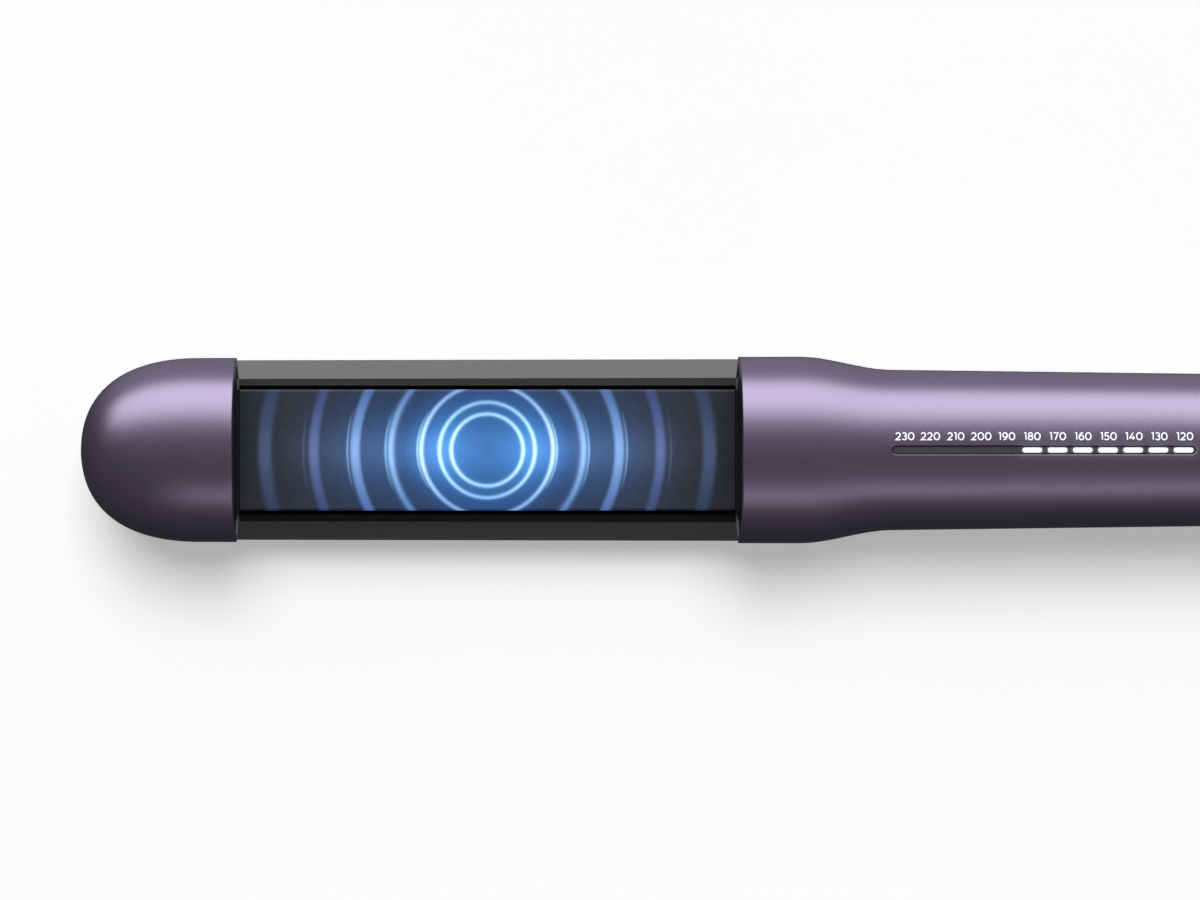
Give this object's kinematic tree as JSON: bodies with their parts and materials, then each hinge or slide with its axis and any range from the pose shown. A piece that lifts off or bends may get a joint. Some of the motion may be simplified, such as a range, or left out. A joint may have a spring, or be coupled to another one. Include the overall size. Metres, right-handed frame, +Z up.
{
  "type": "hair straightening iron",
  "caption": "Slim hair straightening iron with two hinged arms, floating hot plates, an open glossy heating bar, a temperature display strip and a cord swivel.",
  "frame": {"origin": "on the surface that the iron lies on, under the middle of its bounding box", "axes": "+X from the tip to the cord end, +Y across, +Z up out of the upper arm"},
  "size_m": [0.322, 0.041, 0.0357],
  "materials": {
    "purple_casing": "satin metallic lilac paint on moulded plastic",
    "dark_grey_cover": "fine moulded texture, satin",
    "black_bar": "matte black",
    "glossy_bar_cover": "high gloss",
    "ceramic_plate": "satin ceramic coating",
    "heater_ceramic": "white fired ceramic",
    "spring_steel": "bright",
    "steel_bracket": "zinc plated",
    "coated_shield": "steel with a black heat-proof coating",
    "polished_steel": "ground",
    "screw_steel": "blackened zinc",
    "chrome_trim": "satin chrome",
    "dark_button": "satin",
    "soft_rubber": "matte",
    "bush_plastic": "natural acetal",
    "circuit_board": "solder mask",
    "board_part": "moulded",
    "fuse_metal": "plain",
    "lead_insulation": "silicone sleeve",
    "smoked_window": "smoked, gloss",
    "light_guide": "clear",
    "lit_dash": "lit from below",
    "printed_white": "pad print",
    "swivel_plastic": "satin black"
  },
  "bodies": {
    "lower_arm": {"lower_shell": "purple_casing", "lower_plate_frame": "dark_grey_cover", "lower_grip_cover": "dark_grey_cover", "lower_screws": "screw_steel", "lower_heat_shield": "coated_shield", "lower_float_cushions": "soft_rubber", "tip_bumpers": "soft_rubber", "main_board": "circuit_board", "board_parts": "board_part", "lower_leads": "lead_insulation", "hinge_yoke": "steel_bracket", "yoke_screws": "screw_steel", "hinge_pin": "polished_steel", "hinge_cover": "purple_casing", "hinge_caps": "chrome_trim", "opening_spring": "spring_steel", "swivel_socket": "bush_plastic", "swivel_retainer": "spring_steel"},
    "lower_hot_plate": {"lower_plate": "ceramic_plate", "lower_heater": "heater_ceramic", "lower_heater_clamp": "spring_steel", "lower_thermistor": "board_part", "thermal_fuse": "fuse_metal"},
    "upper_arm": {"upper_tip_shell": "purple_casing", "upper_tip_frame": "dark_grey_cover", "upper_handle_shell": "purple_casing", "upper_handle_frame": "dark_grey_cover", "upper_bar_carrier": "black_bar", "upper_bar_cover": "glossy_bar_cover", "upper_screws": "screw_steel", "upper_hinge_arm": "steel_bracket", "hinge_bushes": "bush_plastic", "display_window": "smoked_window", "light_guides": "light_guide", "upper_tip_bulkhead": "black_bar", "upper_grip_bulkhead": "black_bar", "display_leds": "light_guide", "display_board": "circuit_board", "button_switches": "board_part", "upper_leads": "lead_insulation", "upper_float_cushions": "soft_rubber"},
    "upper_hot_plate": {"upper_plate": "ceramic_plate", "upper_heater": "heater_ceramic", "upper_heater_clamp": "spring_steel", "upper_thermistor": "board_part"},
    "temp_down": {"temp_down_button": "dark_button"},
    "temp_up": {"temp_up_button": "dark_button"},
    "power": {"power_button": "chrome_trim"},
    "lock": {"lock_slider": "dark_button"},
    "swivel": {"cord_swivel": "swivel_plastic"}
  },
  "joints": [
    {"name": "hinge", "type": "hinge", "parent": "lower_arm", "child": "upper_arm", "pos_m": [0.136, 0, 0.017], "axis": [0, 1, 0], "range_deg": [0, 14], "deforming": ["opening_spring"]},
    {"name": "upper_plate_float", "type": "slide", "parent": "upper_arm", "child": "upper_hot_plate", "axis": [0, 0, 1], "range_m": [0, 0.0005], "stiffness_N_per_m": 4000, "springref_m": -0.001, "deforming": ["upper_float_cushions"]},
    {"name": "lower_plate_float", "type": "slide", "parent": "lower_arm", "child": "lower_hot_plate", "axis": [0, 0, -1], "range_m": [0, 0.001], "stiffness_N_per_m": 4000, "springref_m": -0.001, "deforming": ["lower_float_cushions"]},
    {"name": "temp_down_press", "type": "slide", "parent": "upper_arm", "child": "temp_down", "axis": [0, 0, -1], "range_m": [0, 0.0006], "stiffness_N_per_m": 800, "springref_m": -0.0008},
    {"name": "temp_up_press", "type": "slide", "parent": "upper_arm", "child": "temp_up", "axis": [0, 0, -1], "range_m": [0, 0.0006], "stiffness_N_per_m": 800, "springref_m": -0.0008},
    {"name": "power_press", "type": "slide", "parent": "upper_arm", "child": "power", "axis": [0, 0, -1], "range_m": [0, 0.0006], "stiffness_N_per_m": 800, "springref_m": -0.0008},
    {"name": "lock_slide", "type": "slide", "parent": "lower_arm", "child": "lock", "axis": [-1, 0, 0], "range_m": [0, 0.004]},
    {"name": "cord_swivel_turn", "type": "hinge", "parent": "lower_arm", "child": "swivel", "pos_m": [0.15, 0, 0.017], "axis": [1, 0, 0], "continuous": true}
  ]
}
